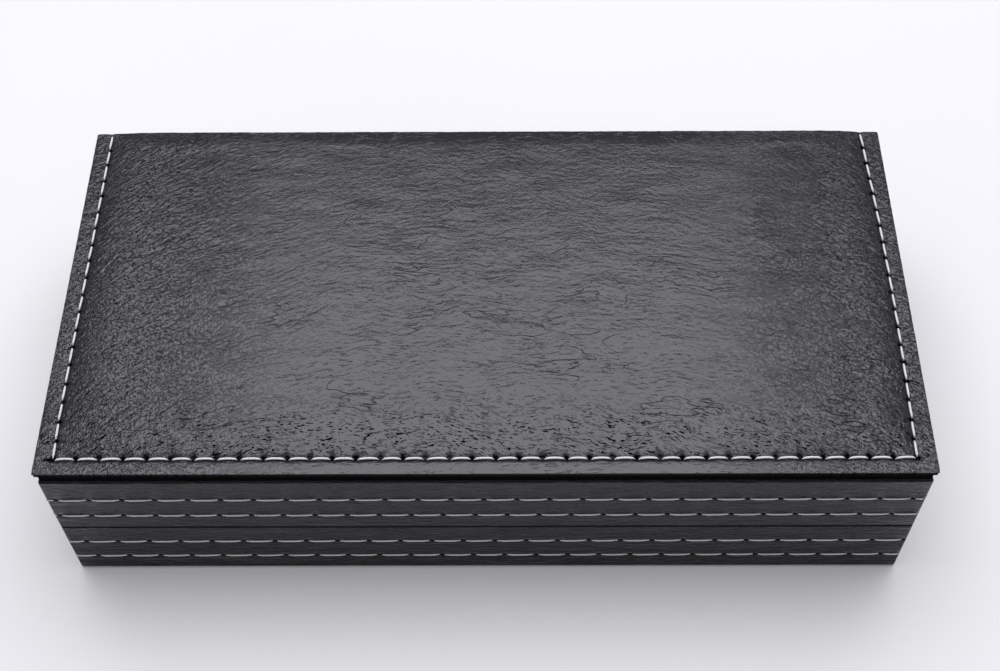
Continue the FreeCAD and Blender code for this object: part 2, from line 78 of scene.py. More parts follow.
camera = bpy.data.objects.new("camera", bpy.data.cameras.new("camera"))
bpy.context.scene.collection.objects.link(camera)
camera_matrix = np.eye(4)
camera_matrix[:3, :3] = np.array(camera_axes(CAMERA_YAW, CAMERA_PITCH, CAMERA_ROLL)).T
camera_matrix[:3, 3] = CAMERA_PLACE
camera.matrix_world = Matrix(camera_matrix)
camera.data.lens = FOCAL_LENGTH
camera.data.clip_start, camera.data.clip_end = 0.01, 50
bpy.context.scene.camera = camera
bpy.context.scene.view_settings.view_transform = "Standard"
print("camera:", FOCAL_LENGTH, "mm lens, on film", camera.data.sensor_width, "mm wide")

# %% [markdown]
# Shader nodes are sums, and sums read best as sums. `Wire` wraps one output of a node and overloads
# Python's operators, so an expression adds the Math nodes that it stands for. `Finish` is a
# material: constants are set on the shader's own sockets, and `node` adds any other node.

# %% Wires and finishes
class Wire:
    """An output of a shader node. Arithmetic on it adds Math nodes to the same finish."""

    def __init__(self, finish, socket):
        self.finish, self.socket = finish, socket

    def maths(self, operation, *values):
        return self.finish.node("Math", {"operation": operation}, dict(enumerate(values)))

    def __add__(self, other): return self.maths("ADD", self, other)
    def __radd__(self, other): return self.maths("ADD", other, self)
    def __sub__(self, other): return self.maths("SUBTRACT", self, other)
    def __rsub__(self, other): return self.maths("SUBTRACT", other, self)
    def __mul__(self, other): return self.maths("MULTIPLY", self, other)
    def __rmul__(self, other): return self.maths("MULTIPLY", other, self)
    def __truediv__(self, other): return self.maths("DIVIDE", self, other)
    def __pow__(self, other): return self.maths("POWER", self, other)
    def __lt__(self, other): return self.maths("LESS_THAN", self, other)
    def __gt__(self, other): return self.maths("GREATER_THAN", self, other)
    def __abs__(self): return self.maths("ABSOLUTE", self)

    def ramp(self, low, high, start=0.0, finish=1.0):
        """Goes smoothly from `start` at `low` to `finish` at `high`."""
        return self.finish.node("MapRange", {"interpolation_type": "SMOOTHSTEP"},
                                {0: self, 1: low, 2: high, 3: start, 4: finish})


class Finish:
    """A material whose shader gets its constants at once and its nodes by `node`."""

    def __init__(self, name, **constants):
        self.material = bpy.data.materials.new(name)
        self.material.use_nodes = True
        self.tree = self.material.node_tree
        self.shader = self.tree.nodes["Principled BSDF"]
        for words, number in constants.items():
            self.shader.inputs[words.replace("_", " ")].default_value = number

    def node(self, kind, settings=None, inputs=None, output=0):
        """A node of a type, with its settings, then the values or wires of its sockets."""
        made = self.tree.nodes.new("ShaderNode" + kind)
        for setting, choice in (settings or {}).items():
            setattr(made, setting, choice)
        for socket, given in (inputs or {}).items():
            self.feed(made.inputs[socket], given)
        return Wire(self, made.outputs[output])

    def feed(self, socket, given):
        if isinstance(given, Wire):
            self.tree.links.new(given.socket, socket)
        else:
            socket.default_value = given

    def set(self, **wires):
        """Links wires to the shader's sockets, named with underscores for spaces."""
        for words, wire in wires.items():
            self.feed(self.shader.inputs[words.replace("_", " ")], wire)
        return self

    def place(self):
        """The three Object coordinates, in millimetres."""
        there = self.node("TexCoord", output="Object")
        scaled = self.node("VectorMath", {"operation": "SCALE"}, {0: there, "Scale": 1 / MM})
        split = self.node("SeparateXYZ", inputs={0: scaled}).socket.node
        return [Wire(self, split.outputs[i]) for i in range(3)]

    def point(self, x, y=0.0, z=0.0):
        return self.node("CombineXYZ", inputs={0: x, 1: y, 2: z})

    def noise(self, x, y=0.0, z=0.0, detail=2.0, rough=0.5, twist=0.0):
        """Cloudy noise about 0.5 whose clouds are one unit across."""
        return self.node("TexNoise", {"noise_dimensions": "3D"}, {
            "Vector": self.point(x, y, z), "Scale": 1.0, "Detail": detail,
            "Roughness": rough, "Distortion": twist})

    def mix(self, factor, first, second):
        """A colour between two colours."""
        return self.node("Mix", {"data_type": "RGBA"}, {0: factor, 6: first, 7: second}, output=2)

    def paint_shade(self, where):
        """Where `where` is 1 no gloss shows, only matt black: painted shade, as at the bottom of a hole."""
        matt = self.node("BsdfDiffuse", inputs={"Color": (0.002, 0.002, 0.002, 1.0)})
        mixed = self.node("MixShader", inputs={0: where, 1: Wire(self, self.shader.outputs[0]), 2: matt})
        self.feed(self.tree.nodes["Material Output"].inputs["Surface"], mixed)

    def bump(self, height, strength=1.0):
        """Tilts the surface as if it stood out by `height` millimetres."""
        return self.node("Bump", inputs={"Height": height, "Distance": MM, "Strength": strength})


def grey(level, warm=0.0):
    """An opaque grey, a little warmer or, below nought, cooler."""
    return (level * (1 + warm), level, level * (1 - warm), 1.0)


print("finishes: ready")

# %% [markdown]
# A soft box hangs over and behind the box. The lid, seen from the front, mirrors it, which is what
# turns black leatherette grey. The world gives a plain fill from all sides. Together they light the
# floor so that a colour shows about as it is written.

# %% Studio
SOFT_BOX_PLACE = np.array([0.0, 0.22, 0.78])
SOFT_BOX_SIZE = (1.02, 0.68)
SOFT_BOX_RADIANCE = 2.75
FRONT_LAMP_PLACE = np.array([0.0, -0.45, 1.1])
FRONT_LAMP_SIZE = (1.6, 0.9)
FRONT_LAMP_RADIANCE = 0.36
ROOM_LOW, ROOM_HIGH = 0.19, 0.32
LAMP_COLOUR = (0.985, 0.98, 1.035)
FLOOR_SIZE = 3.0


def soft_box(name, place, aim, size, radiance):
    """A rectangular lamp that faces a point. Its power is radiance times area times pi."""
    lamp = bpy.data.lights.new(name, "AREA")
    lamp.shape, lamp.size, lamp.size_y = "RECTANGLE", *size
    lamp.energy = radiance * size[0] * size[1] * math.pi
    lamp.color = LAMP_COLOUR
    stand = bpy.data.objects.new(name, lamp)
    bpy.context.scene.collection.objects.link(stand)
    back = (place - aim) / np.linalg.norm(place - aim)
    side = np.cross([0, 0, 1], back)
    side = side / np.linalg.norm(side) if np.linalg.norm(side) > 1e-6 else np.array([1.0, 0, 0])
    matrix = np.eye(4)
    matrix[:3, :3] = np.array([side, np.cross(back, side), back]).T
    matrix[:3, 3] = place
    stand.matrix_world = Matrix(matrix)
    return stand


MIDDLE = np.array([0, 0, 0.04])
soft_box("soft_box", SOFT_BOX_PLACE, MIDDLE, SOFT_BOX_SIZE, SOFT_BOX_RADIANCE)
soft_box("front_lamp", FRONT_LAMP_PLACE, MIDDLE, FRONT_LAMP_SIZE, FRONT_LAMP_RADIANCE)

world = bpy.data.worlds.new("studio")
world.use_nodes = True
bpy.context.scene.world = world
room = Finish.__new__(Finish)
room.tree = world.node_tree
room.shader = world.node_tree.nodes["Background"]
outlook = room.node("TexCoord", output="Generated")
height = Wire(room, room.node("SeparateXYZ", inputs={0: outlook}).socket.node.outputs[2])
rays = room.node("LightPath").socket.node.outputs
shown = Wire(room, rays["Is Camera Ray"]) + Wire(room, rays["Is Transmission Ray"])
fill = height.ramp(0.0, 0.75, ROOM_LOW, ROOM_HIGH)
room.set(Strength=fill + shown * (1 - fill), Color=(0.98, 0.98, 1.0, 1.0))
print("studio: room", ROOM_LOW, "to", ROOM_HIGH, "and soft box", SOFT_BOX_RADIANCE)

# %% [markdown]
# Every new piece is a surface worked out as whole arrays. `new_piece` takes points in millimetres
# and lists of faces, and puts them into a mesh without a loop over vertices. `sheet_faces` gives
# the quads of a grid, open or closed in either direction.

# %% Meshes from arrays
def sheet_faces(rows, columns, close_rows=False, close_columns=False):
    """Quads between neighbours of a grid of points. A closed direction joins its last to its first."""
    down = np.arange(rows if close_rows else rows - 1)
    across = np.arange(columns if close_columns else columns - 1)
    i, j = np.meshgrid(down, across, indexing="ij")
    low, high = i * columns, (i + 1) % rows * columns
    near, far = j, (j + 1) % columns
    return np.stack([low + near, low + far, high + far, high + near], axis=-1).reshape(-1, 4)


def new_piece(name, points, faces, finish, body, smooth=True, uv=None):
    """A mesh of points in millimetres and of one or more arrays of faces, on a moving body."""
    faces = faces if isinstance(faces, list) else [faces]
    points = np.asarray(points, np.float32).reshape(-1, 3) * MM
    sizes = np.concatenate([np.full(len(part), part.shape[1]) for part in faces])
    mesh = bpy.data.meshes.new(name)
    mesh.vertices.add(len(points))
    mesh.vertices.foreach_set("co", points.ravel())
    corners = np.concatenate([part.ravel() for part in faces])
    mesh.loops.add(len(corners))
    mesh.loops.foreach_set("vertex_index", corners.astype(np.int32))
    mesh.polygons.add(len(sizes))
    mesh.polygons.foreach_set("loop_start", (np.cumsum(sizes) - sizes).astype(np.int32))
    mesh.polygons.foreach_set("use_smooth", np.full(len(sizes), smooth))
    if uv is not None:
        layer = mesh.uv_layers.new(name="along")
        layer.data.foreach_set("uv", np.asarray(uv, np.float32).ravel())
    mesh.update(calc_edges=True)
    mesh.materials.append(finish.material)
    piece = bpy.data.objects.new(name, mesh)
    bpy.context.scene.collection.objects.link(piece)
    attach(piece, body)
    print(f"{name}: {len(points)} points, {len(sizes)} faces")
    return piece


def rolling(x, y, length_x, length_y, seed, waves=28):
    """Gentle random hills: a sum of plane waves of random heading, length and phase, about +-1."""
    dice = np.random.default_rng(seed)
    heading, phase = dice.uniform(0, 2 * math.pi, (2, waves))
    stretch = dice.uniform(0.6, 1.7, waves)
    total = np.zeros(np.broadcast(x, y).shape)
    for turn, start, scale in zip(heading, phase, stretch):
        total += np.cos(2 * math.pi * scale * (x * math.cos(turn) / length_x
                                               + y * math.sin(turn) / length_y) + start)
    return total / math.sqrt(waves / 2)


print("mesh helpers: ready")

# %% [markdown]
# The floor is a plain pale table, wider than any view, which keeps the shadow of the box.

# %% Floor
floor_finish = Finish("pale_floor", Roughness=0.6)
floor_finish.shader.inputs["Specular IOR Level"].default_value = 0.25
floor_x, floor_y, _ = floor_finish.place()
floor_tone = floor_finish.noise(floor_x / 160, floor_y / 160, detail=1.0).ramp(0.3, 0.7)
floor_finish.set(Base_Color=floor_finish.mix(floor_tone, (0.925, 0.925, 0.935, 1), (0.94, 0.94, 0.945, 1)))
half = FLOOR_SIZE / 2 / MM
floor_mesh = bpy.data.meshes.new("floor")
floor_mesh.from_pydata([(-half * MM, -half * MM, 0), (half * MM, -half * MM, 0),
                        (half * MM, half * MM, 0), (-half * MM, half * MM, 0)], [], [(0, 1, 2, 3)])
floor_mesh.materials.append(floor_finish.material)
floor = bpy.data.objects.new("floor", floor_mesh)
bpy.context.scene.collection.objects.link(floor)
print("floor:", FLOOR_SIZE, "m square")

# %% [markdown]
# ## Thread
#
# A machine stitch is a short length of twisted thread that rises out of one needle hole, lies on
# the leather and dives into the next. `stitches` sweeps a small ring along each arch. The ring's
# plane is held by the thread's own direction and by the outward direction of the leather.

# %% Stitches as swept rings
def stitches(name, paths, outward, radius, sides, finish, body):
    """Closed tubes along `paths` (stitch, point, 3), thinned to a tip at both ends."""
    count, points, _ = paths.shape
    heading = np.gradient(paths, axis=1)
    heading /= np.linalg.norm(heading, axis=2, keepdims=True)
    across = np.cross(outward, heading)
    across /= np.linalg.norm(across, axis=2, keepdims=True)
    above = np.cross(heading, across)
    share = np.linspace(-1, 1, points)
    thick = radius * (1 - 0.75 * np.abs(share) ** 6)[None, :, None, None]
    turn = np.arange(sides) * 2 * math.pi / sides
    ring = (np.cos(turn)[:, None] * above[:, :, None, :]
            + np.sin(turn)[:, None] * across[:, :, None, :])
    vertices = paths[:, :, None, :] + thick * ring
    first = (np.arange(count) * points * sides)[:, None, None]
    walls = sheet_faces(points, sides, close_columns=True)[None] + first
    ends = np.array([np.arange(sides)[::-1], (points - 1) * sides + np.arange(sides)])[None] + first
    run = np.concatenate([[0], np.cumsum(np.linalg.norm(np.diff(paths[0], axis=0), axis=1))])
    i, j = np.meshgrid(np.arange(points - 1), np.arange(sides), indexing="ij")
    corner = np.stack([np.stack([run[i], j / sides], -1), np.stack([run[i], (j + 1) / sides], -1),
                       np.stack([run[i + 1], (j + 1) / sides], -1),
                       np.stack([run[i + 1], j / sides], -1)], axis=2)[:, :, ::-1].reshape(-1, 2)
    uv = np.concatenate([np.tile(corner, (count, 1)), np.zeros((count * 2 * sides, 2))])
    return new_piece(name, vertices, [walls.reshape(-1, 4)[:, ::-1], ends.reshape(-1, sides)[:, ::-1]],
                     finish, body, uv=uv)


def thread_finish(name, light, dark):
    """Twisted polyester: bright plies with painted shade in the grooves that wind round the thread."""
    thread = Finish(name, Roughness=0.55)
    thread.shader.inputs["Sheen Weight"].default_value = 0.2
    uv = thread.node("UVMap", {"uv_map": "along"})
    split = thread.node("SeparateXYZ", inputs={0: uv}).socket.node
    run, turn = Wire(thread, split.outputs[0]), Wire(thread, split.outputs[1])
    wound = (run / 1.1 + turn) * (4 * math.pi)
    ply = wound.maths("SINE", wound)
    x, y, z = thread.place()
    dirt = thread.noise(x / 3, y / 3, z / 3)
    # The ply sine darkens the grooves between plies as painted shade; dirt is a random tone.
    shade = (ply * 0.5 + 0.5) * (dirt * 0.5 + 0.75)
    thread.set(Base_Color=thread.mix(shade, dark, light), Normal=thread.bump(ply * 0.03))
    return thread


white_thread = thread_finish("white_thread", grey(0.93, 0.005), grey(0.74, 0.01))
print("thread: two plies, 1.1 mm to a turn")

# %% [markdown]
# ## The cover board
#
# A thin board is padded with foam and drawn over with leatherette, then sewn along its left, front
# and right edges. The sewing pins the leatherette down, so the padding swells behind it, and every
# needle hole pulls small folds towards itself. All of that is one height over the board: a swell
# that is nought at the rows, a groove along them, a pit at each hole, and random hills that fade
# away from the front row.

# %% Rows of sewing on the cover
cover_low, cover_high = (np.array(corner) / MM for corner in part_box("cover_leather"))
HALF_X, HALF_Y = cover_high[0], cover_high[1]
UNDERSIDE = cover_low[2]
BORDER = UNDERSIDE + 1.5
SWELL = cover_high[2] - BORDER
LEFT_ROW, RIGHT_ROW, FRONT_ROW = -84.0, 83.8, -40.4
BACK_END = 43.4
row_dice = np.random.default_rng(5)


def left_row(y):
    """The left row leans out by a third of a millimetre behind its front corner."""
    return LEFT_ROW - 0.4 * (1 - np.exp(-np.clip(y - FRONT_ROW, 0, None) / 6))


def right_row(y):
    """The right row bows out by nearly a millimetre half way back."""
    return RIGHT_ROW + 0.9 * np.sin(math.pi * np.clip((y - FRONT_ROW) / (BACK_END - FRONT_ROW), 0, 1))


def needle_holes(start, finish, count, shake=0.12):
    """Places of the needle along one row, evenly spaced but for a small shake."""
    places = np.linspace(start, finish, count)
    places[1:-1] += row_dice.normal(0, shake, count - 2)
    return places


front_holes = needle_holes(LEFT_ROW, RIGHT_ROW, 38)
left_holes = needle_holes(FRONT_ROW, BACK_END, 20)
right_holes = needle_holes(FRONT_ROW, BACK_END, 20)


def pulled_holes(x, y, inward_x, inward_y, half_width, reach):
    """One line per needle hole: its place, where it is pulled to, its half width and its reach."""
    columns = np.broadcast_arrays(x, y, inward_x, inward_y, half_width, reach)
    return np.stack([column.ravel() for column in columns], axis=1)


holes = np.concatenate([
    pulled_holes(front_holes, FRONT_ROW + 0.1, 0, 1, 0.80, 1.05),
    pulled_holes(left_row(left_holes[1:-1]) + 0.1, left_holes[1:-1], 1, 0, 0.62, 0.70),
    pulled_holes(right_row(right_holes[1:-1]) - 0.1, right_holes[1:-1], -1, 0, 0.62, 0.70),
    pulled_holes(np.array([LEFT_ROW - 0.6]), FRONT_ROW + 0.1, -1, 0, 0.34, 2.0)])
print("cover:", len(holes), "needle holes, stitches", round(float(np.diff(front_holes).mean()), 2), "mm")


# %% Height of the leatherette over the cover
def swelling(inset, run):
    """From nought to one over `run`, steep at first and then level, like a pinned pad."""
    share = np.clip(inset / run, 0, 1)
    return 1 - (1 - share) ** 2.5


def cover_height(x, y):
    """Millimetres above the sewn border at each point of the cover."""
    from_left, from_right = x - left_row(y), right_row(y) - x
    from_front, from_back = y - FRONT_ROW, HALF_Y - y
    height = SWELL * (swelling(from_left - 0.5, 11) * swelling(from_right - 0.5, 11)
                      * swelling(from_front - 0.4, 13) * swelling(from_back + 0.9, 6))
    between_sides = np.clip(from_left, 0, 1) * np.clip(from_right, 0, 1)
    behind_front = np.clip(from_front + 1, 0, 1)
    grooves = (np.exp(-(from_front / 0.55) ** 2) * between_sides
               + (np.exp(-(from_left / 0.55) ** 2) + np.exp(-(from_right / 0.55) ** 2)) * behind_front)
    height = height - 0.16 * grooves
    front_pull = np.exp(-np.clip(from_front, 0, None) / 7.0) * (from_front > 0) * between_sides
    side_pull = (np.exp(-np.clip(from_left, 0, None) / 5.0) * (from_left > 0)
                 + np.exp(-np.clip(from_right, 0, None) / 5.0) * (from_right > 0)) * behind_front
    fan = rolling(x, y, 4.0, 7.5, 11)
    ridges = rolling(x, y, 3.4, 1.9, 12)
    height = height + front_pull * (0.07 * fan - 0.10 * np.exp(-(ridges / 0.28) ** 2))
    height = height + side_pull * (0.035 * rolling(x, y, 5.0, 3.5, 13))
    height = height + 0.02 * rolling(x, y, 17, 9, 14) * np.clip(height, 0, 1)
    return height


def pits(x, y):
    """How deep each point lies in a needle hole, from 0 to 1: a wedge that narrows as it is pulled."""
    deepest = np.zeros(x.shape)
    for hole_x, hole_y, inward_x, inward_y, half_width, reach in holes:
        near = (np.abs(x - hole_x) < 3) & (np.abs(y - hole_y) < 3)
        to_x, to_y = x[near] - hole_x, y[near] - hole_y
        inward = to_x * inward_x + to_y * inward_y
        beside = np.abs(to_x * inward_y - to_y * inward_x)
        wedge = np.minimum(1 - beside / (half_width * (1 - 0.55 * np.clip(inward / reach, 0, 1))),
                           np.minimum(1 - inward / reach, 1 + inward / 0.42))
        deepest[near] = np.maximum(deepest[near], np.clip(wedge * 2.4, 0, 1))
    return deepest


def lines_between(low, high, coarse, fine, near, reach):
    """Grid lines that draw together round the places in `near`."""
    fine_at = np.linspace(low, high, 40000)
    closest = np.abs(fine_at[:, None] - near[None, :]).min(axis=1)
    density = np.where(closest < reach, 1 / fine, 1 / coarse)
    run = np.concatenate([[0], np.cumsum((density[1:] + density[:-1]) / 2 * np.diff(fine_at))])
    return np.interp(np.linspace(0, run[-1], int(round(run[-1])) + 1), run, fine_at)


EDGE = 0.15
grid_x = lines_between(-HALF_X + EDGE, HALF_X - EDGE, 0.80, 0.26, front_holes, 0.8)
grid_y = lines_between(-HALF_Y + EDGE, HALF_Y - EDGE, 0.78, 0.26, left_holes, 0.7)
print("cover grid:", len(grid_x), "by", len(grid_y))

# %% [markdown]
# The top of the cover is a grid. Its border is carried on as a profile: round the edge, down the
# side, under the turned-in margin, over its lip and back inside above the board, so the leatherette
# is one closed skin with real thickness. In a corner the grid is bent so that its edge is an arc:
# a square maps to a disc by x times the root of 1 - y squared / 2, and the same for y.

# %% The cover's skin
SKIN = 0.35
TURN_UNDER = 10.0
# Share of matt black painted on the side of the cover's edge: painted shade.
EDGE_SHADE = 0.62


def round_corners(x, y, reach_x, reach_y, radius):
    """Bends the corner squares of a grid into quarter discs."""
    over_x = np.clip((np.abs(x) - (reach_x - radius)) / radius, 0, 1)
    over_y = np.clip((np.abs(y) - (reach_y - radius)) / radius, 0, 1)
    corner = (over_x > 0) & (over_y > 0)
    bent_x = np.sign(x) * (reach_x - radius + radius * over_x * np.sqrt(1 - over_y ** 2 / 2))
    bent_y = np.sign(y) * (reach_y - radius + radius * over_y * np.sqrt(1 - over_x ** 2 / 2))
    return np.where(corner, bent_x, x), np.where(corner, bent_y, y)


def cover_skin():
    x, y = np.meshgrid(grid_x, grid_y, indexing="ij")
    sunk = pits(x, y)
    z = BORDER + np.maximum(cover_height(x, y) - 0.5 * sunk, 0.02 - SKIN)
    bent_x, bent_y = round_corners(x, y, HALF_X - EDGE, HALF_Y - EDGE, 0.2)
    top = np.stack([bent_x, bent_y, z], axis=-1)
    columns = len(grid_y)
    index = np.arange(top[..., 0].size).reshape(top.shape[:2])
    rim = np.concatenate([index[:, 0], index[-1, 1:], index[-2::-1, -1], index[0, -2:0:-1]])
    edge = top.reshape(-1, 3)[rim]
    ahead = np.roll(edge, -1, axis=0) - np.roll(edge, 1, axis=0)
    out = np.stack([ahead[:, 1], -ahead[:, 0], np.zeros(len(edge))], axis=1)
    out /= np.linalg.norm(out, axis=1, keepdims=True)
    run = np.arctan2(edge[:, 1], edge[:, 0])
    ragged = 0.035 * rolling(edge[:, 0], edge[:, 1], 2.2, 2.2, 21)
    rings, edge_shade = [], []
    for angle in np.radians([22, 45, 68, 90]):
        ring = edge + out * (EDGE * math.sin(angle))
        ring[:, 2] -= EDGE * (1 - math.cos(angle)) - ragged * math.sin(angle)
        rings.append(ring)
        # Painted shade: the edge gets more matt black the further it turns down.
        edge_shade.append(0.1 + 0.45 * math.sin(angle) ** 4)
    side = rings[-1]
    for drop, step in ((0.05, -0.07), (0.20, -0.16), (0.50, -0.25), (0.78, -0.32), (0.86, -0.24),
                       (0.95, -0.17), (1.06, -0.20), (1.22, -0.32), (1.32, -0.44)):
        ring = side + out * step
        ring[:, 2] = BORDER - EDGE - drop + ragged * (1 - drop / 1.32)
        rings.append(ring)
    inner = [(4.0, UNDERSIDE), (TURN_UNDER, UNDERSIDE), (TURN_UNDER, UNDERSIDE + SKIN),
             (SKIN, UNDERSIDE + SKIN), (SKIN, BORDER - SKIN)]
    inner += [(inset, None) for inset in (4.5, 6, 8, 11, 16, 24, 34, 42)]
    for inset, level in inner:
        ring = edge * [(HALF_X - inset) / (HALF_X - EDGE), (HALF_Y - inset) / (HALF_Y - EDGE), 1]
        ring[:, 2] = level if level else BORDER - SKIN + np.minimum(cover_height(ring[:, 0], ring[:, 1]), SWELL) - 0.12
        rings.append(ring)
    points = np.concatenate([top.reshape(-1, 3), np.concatenate(rings)])
    rim_count = len(rim)
    loops = np.concatenate([rim[None], len(index.ravel()) + np.arange(len(rings) * rim_count).reshape(-1, rim_count)])
    following = np.roll(loops, -1, axis=1)
    skirt = np.stack([loops[:-1], loops[1:], following[1:], following[:-1]], axis=-1).reshape(-1, 4)
    faces = [sheet_faces(len(grid_x), columns)[:, ::-1], skirt, loops[-1][None, ::-1]]
    edge_shade += [EDGE_SHADE] * (len(rings) - len(edge_shade))
    return points, faces, np.concatenate([sunk.ravel(), np.repeat(edge_shade, rim_count)])


skin_points, skin_faces, skin_painted_shade = cover_skin()

# %% [markdown]
# Black leatherette is a smooth coated cloth with an embossed grain. Its colour is nearly black all
# over, so most of what the eye sees is in how it mirrors the room: ripples along the drawn direction
# and a net of fine cracks where the coat has creased. The shade in the cracks, the grooves, the
# needle holes and the side of the edge is painted: matt black is mixed in there. The direction
# turns over the board, because the cover was cut on the bias: the grain follows lines of constant
# y - f(x), where f leans steeply at the left and gently at the right.

# %% Leatherette of the cover
cover_leatherette = Finish("cover_leatherette", Roughness=0.22, Specular_IOR_Level=0.69)
leather = cover_leatherette
x, y, z = leather.place()
at_right = x.ramp(-12, 12)
lean = x * x * x * (1 / 19200) * (1 - at_right * 1.45)
across = y - lean + leather.noise(x / 13, y / 13, 3.1, detail=1.0) * 5
along = x + y * x * x * (1 / 6400) * (1 - at_right * 1.45)
left_zone, right_zone = x.ramp(-78, -26, 1, 0), x.ramp(34, 84)
back_zone, front_zone = y.ramp(2, 34), y.ramp(-37, -24, 1, 0)
middle_zone = 1 - left_zone.maths("MAXIMUM", left_zone, right_zone)
behind_row = y.ramp(-40.3, -39.4)
pebble = leather.noise(along / 1.15, across / 0.95, 2.2, detail=1.5, rough=0.5, twist=0.6)
groove = abs(pebble - 0.5).ramp(0.0, 0.046, 1, 0)
ripple = leather.noise(x / 3.2, across / 0.95, 4.4, detail=1.5, rough=0.5, twist=0.3)
hatch = leather.noise((x - y) / 2.4, (x + y) / 0.95, 6.1, detail=1.5, rough=0.5, twist=0.3)
hatch_line = abs(hatch - 0.5).ramp(0.0, 0.034, 1, 0)
fine = leather.noise(x / 0.42, y / 0.34, 7.7, detail=1.0)
patches = leather.noise(x / 8, across / 4.5, 9.2, detail=2.0).ramp(0.38, 0.58)
dash = leather.noise(x / 2.1, across / 0.46, 1.3, detail=1.5, rough=0.5, twist=0.5)
crack = dash.ramp(0.30, 0.40, 1, 0) * (patches * 0.75 + 0.25) * middle_zone
short_dash = leather.noise(x / 1.0, (across + x * 0.15) / 0.30, 5.5, detail=1.0, rough=0.5, twist=0.6)
near_row = leather.noise(x / 6, y / 3, 8.3, detail=1.0).ramp(0.38, 0.55) * 0.6 + 0.4
crease = short_dash.ramp(0.34, 0.40, 1, 0) * front_zone * behind_row * near_row
long_line = abs(leather.noise(x / 15, across / 4.2, 2.9, detail=2.0) - 0.5).ramp(0.0, 0.010, 1, 0)
long_crack = long_line * leather.noise(x / 19, y / 12, 5.1, detail=1.0).ramp(0.50, 0.60) * behind_row
# Painted shade: the needle holes' depth and the edge's share, read back as a mask for matt black.
hole_and_edge_shade = leather.node("Attribute", {"attribute_name": "holes_and_painted_shade"}, output="Fac")
height = ((pebble - 0.5) * (0.06 + left_zone * 0.12 + right_zone * 0.06)
          - groove * (left_zone * 0.06 + right_zone * 0.04 + 0.003)
          + (ripple - 0.5) * (0.08 - back_zone * 0.03 + left_zone * 0.04)
          + (hatch - 0.5) * right_zone * 0.10 - hatch_line * right_zone * 0.07 + (fine - 0.5) * 0.02
          - crack * 0.055 - crease * 0.12 - long_crack * 0.07)
gloss = 0.21 - (left_zone + right_zone) * 0.07 + (fine - 0.5) * 0.08 + crack * 0.15 + crease * 0.25
# Painted shade: the base colour is darker in the creases.
cover_leatherette.set(Base_Color=leather.mix(crease, (0.011, 0.011, 0.016, 1), grey(0.004)), Roughness=gloss,
                      Normal=leather.bump(height))
# Painted shade in the grooves of the grain, at the left and right, less at the front.
painted_groove_shade = ((groove * (left_zone * 0.70 + right_zone * 0.42) + hatch_line * right_zone * 0.44)
          * (1 - front_zone * 0.35))
# Painted shade: matt black mixed into the needle holes, the edge, creases, long cracks and grooves.
leather.paint_shade((hole_and_edge_shade + crease * 0.9 + long_crack * 0.28 + painted_groove_shade).ramp(0.1, 0.8))

cover = new_piece("padded_cover", skin_points, skin_faces, cover_leatherette, "lid")
# The layer holds painted shade for the needle holes and the side of the edge.
painted_shade_layer = cover.data.attributes.new("holes_and_painted_shade", "FLOAT", "POINT")
painted_shade_layer.data.foreach_set("value", skin_painted_shade.astype(np.float32))
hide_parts("cover_leather", "cover_foam")

# %% Stitches of the cover
THREAD = 0.235


def cover_stitches(row_holes, along, fixed, aside, points=9):
    """Arched paths from hole to hole. `along` is the axis of the row, `aside` points at the arch."""
    start, finish = row_holes[:-1], row_holes[1:]
    share = np.linspace(0, 1, points)
    clear = 0.30
    run = start[:, None] + clear + (finish - start - 2 * clear)[:, None] * share
    paths = np.zeros((len(start), points, 3))
    paths[..., along] = run
    slant = row_dice.normal(0.10, 0.05, (len(start), 1))
    arch = np.sin(math.pi * share) ** 0.7
    row = fixed(run) if callable(fixed) else fixed
    paths[..., 1 - along] = row + aside * (0.13 * arch + slant * (share - 0.5))
    paths[..., 2] = BORDER - 0.30 + 0.44 * np.sin(math.pi * share) ** 0.3
    return paths


up = np.array([0.0, 0.0, 1.0])
cover_paths = np.concatenate([
    cover_stitches(front_holes, 0, FRONT_ROW, 1),
    cover_stitches(left_holes, 1, left_row, 1),
    cover_stitches(right_holes, 1, right_row, -1)])
stitches("cover_stitches", cover_paths, up, THREAD, 8, white_thread, "lid")

# %% [markdown]
# ## The sewn strips round the shells
#
# Each shell is wrapped in one strip with two sewn rows, made before it was glued on, so the rows run
# on round the corners. A place on a row is measured along the sides of a square-cornered rectangle
# and then drawn in to the round corner. The leatherette's own pattern uses the same measure, so the
# needle holes in it lie exactly between the stitches.

# %% Rows round the walls
wrap_low, wrap_high = (np.array(corner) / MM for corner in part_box("base_wrap"))
WALL_X, WALL_Y = wrap_high[0], wrap_high[1]
WALL_CORNER = 0.56
ROUND = 4 * (WALL_X + WALL_Y)
STRIP_SEAM = 6.0
BULGE, BULGE_MIDDLE = -2.6, 26.0
WALL_ROWS = [("lid", 30.56, 80, 2.0), ("lid", 24.1, 81, 1.2), ("base", 12.53, 80, 4.0), ("base", 5.95, 79, 5.0)]


